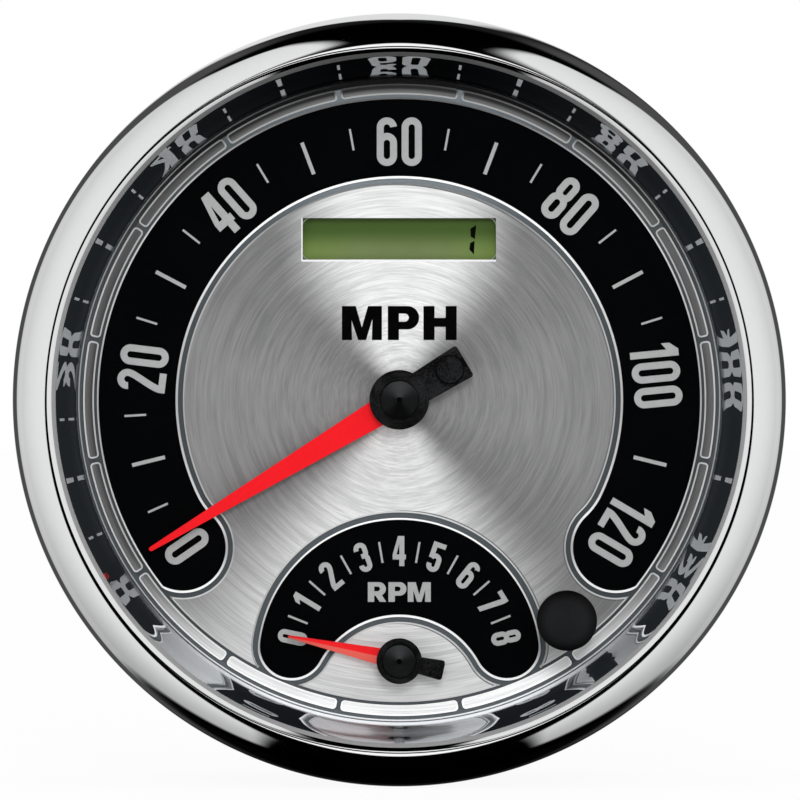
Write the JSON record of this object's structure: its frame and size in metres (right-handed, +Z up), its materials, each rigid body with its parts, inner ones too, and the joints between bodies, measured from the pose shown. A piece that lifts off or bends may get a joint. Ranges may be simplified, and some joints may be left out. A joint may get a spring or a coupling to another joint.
{
  "type": "in-dash speedometer",
  "caption": "Round in-dash instrument with a chrome bezel, a brushed dial, a speed pointer, a small rev pointer, an odometer window and a trip button.",
  "frame": {"origin": "on the instrument's axis, in the plane of the panel's face that the bezel seats on", "axes": "+Z up on the dial, the dial faces -Y, +X to the driver's right; +Y runs back through the panel"},
  "size_m": [0.1334, 0.0722, 0.1334],
  "materials": {
    "bezel_chrome": "polished chrome plate",
    "reflector_chrome": "bright plated moulding",
    "lens_glass": "clear, polished",
    "seal_rubber": "matt",
    "case_zinc": "zinc plated sheet",
    "stud_brass": "threaded, dull",
    "screw_steel": "plated steel",
    "dial_slate": "satin slate grey",
    "dial_brushed": "brushed in circles",
    "scale_black": "satin black",
    "guide_acrylic": "clear acrylic",
    "chassis_white": "moulded",
    "lcd_green": "reflective liquid crystal",
    "holder_grey": "moulded",
    "pin_tin": "tinned",
    "pin_gold": "flash gold",
    "board_green": "solder mask",
    "lamp_cream": "phosphor window",
    "chip_black": "moulded",
    "capacitor_blue": "sleeved",
    "socket_black": "moulded",
    "button_rubber": "satin",
    "stem_nylon": "black nylon",
    "weight_black": "blackened",
    "bobbin_tan": "moulded",
    "coil_copper": "enamelled wire, wound",
    "can_steel": "drawn",
    "bush_brass": "turned",
    "magnet_grey": "sintered",
    "pointer_red": "bright red",
    "hub_black": "fine grained"
  },
  "bodies": {
    "case": {"bezel": "bezel_chrome", "lens": "lens_glass", "lens_gasket": "seal_rubber", "case_gasket": "seal_rubber", "reflector_ring": "reflector_chrome", "case_cup": "case_zinc", "mounting_studs": "stud_brass", "case_screws": "screw_steel", "dial_base": "dial_slate", "dial_face": "dial_brushed", "speed_scale": "scale_black", "rev_scale": "scale_black", "light_guide": "guide_acrylic", "chassis": "chassis_white", "lcd_glass": "lcd_green", "lcd_holder": "holder_grey", "lcd_backlight": "chassis_white", "lcd_pins": "pin_tin", "circuit_board": "board_green", "board_screws": "screw_steel", "dial_lamps": "lamp_cream", "controller_chip": "chip_black", "voltage_regulator": "chip_black", "capacitors": "capacitor_blue", "harness_socket": "socket_black", "socket_pins": "pin_gold", "trip_switch": "chip_black", "button_bush": "socket_black", "bush_clip": "screw_steel", "speed_bobbin_front": "bobbin_tan", "speed_bobbin_rear": "bobbin_tan", "speed_coil_inner": "coil_copper", "speed_coil_outer": "coil_copper", "speed_shield_can": "can_steel", "speed_bushes": "bush_brass", "rev_bobbin_front": "bobbin_tan", "rev_bobbin_rear": "bobbin_tan", "rev_coil_inner": "coil_copper", "rev_coil_outer": "coil_copper", "rev_shield_can": "can_steel", "rev_bushes": "bush_brass"},
    "speed_pointer": {"speed_spindle": "screw_steel", "speed_rotor_magnet": "magnet_grey", "speed_pointer_blade": "pointer_red", "speed_pointer_hub": "hub_black", "speed_pointer_weight": "weight_black"},
    "rev_pointer": {"rev_spindle": "screw_steel", "rev_rotor_magnet": "magnet_grey", "rev_pointer_blade": "pointer_red", "rev_pointer_hub": "hub_black"},
    "trip_button": {"button_cap": "button_rubber", "button_stem": "stem_nylon", "stem_clip": "screw_steel", "switch_plunger": "chip_black"}
  },
  "joints": [
    {"name": "speed_sweep", "type": "hinge", "parent": "case", "child": "speed_pointer", "pos_m": [0, 0, 0], "axis": [0, 1, 0], "range_deg": [0, 245.5]},
    {"name": "rev_sweep", "type": "hinge", "parent": "case", "child": "rev_pointer", "pos_m": [0, 0, -0.0451], "axis": [0, 1, 0], "range_deg": [0, 155.7]},
    {"name": "button_press", "type": "slide", "parent": "case", "child": "trip_button", "axis": [0, 1, 0], "range_m": [0, 0.0008], "stiffness_N_per_m": 2000}
  ]
}
